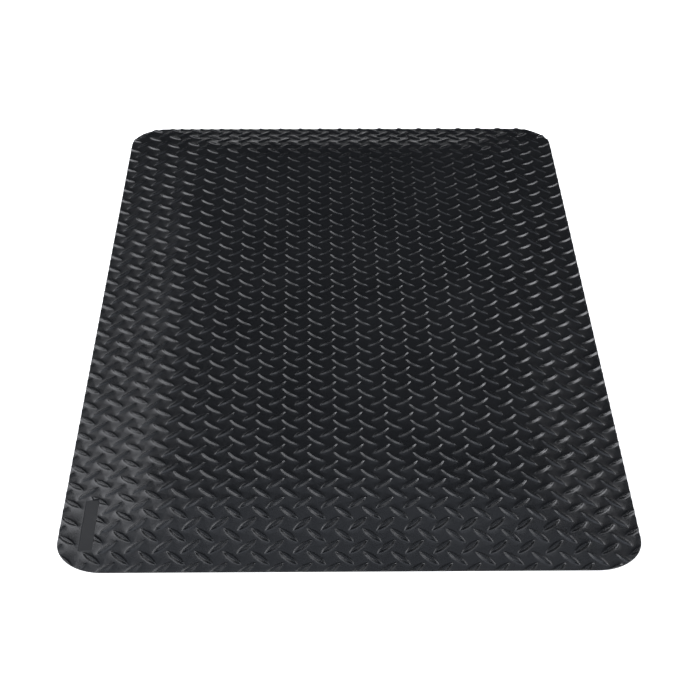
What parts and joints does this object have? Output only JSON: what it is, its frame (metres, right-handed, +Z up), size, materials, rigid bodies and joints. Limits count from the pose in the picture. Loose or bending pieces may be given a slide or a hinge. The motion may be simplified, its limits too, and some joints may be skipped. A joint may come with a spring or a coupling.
{
  "type": "anti fatigue mat",
  "caption": "Rectangular cushioned floor mat with a raised lozenge tread, bevelled edges and rounded corners, for standing work.",
  "frame": {"origin": "centre of the underside, on the floor", "axes": "+Z up from the floor, +Y along the length, towards the far edge, +X across the width; the label recess is near the -X, -Y corner"},
  "size_m": [0.9144, 1.524, 0.03],
  "materials": {
    "wear_sheet": "satin, fine-grained flexible PVC with a moulded raised tread",
    "bond_film": "thin, smooth adhesive film",
    "foam_base": "matte closed-cell sponge"
  },
  "bodies": {
    "root": {"wear_sheet": "wear_sheet", "bond_film": "bond_film", "foam_base": "foam_base"}
  },
  "joints": []
}
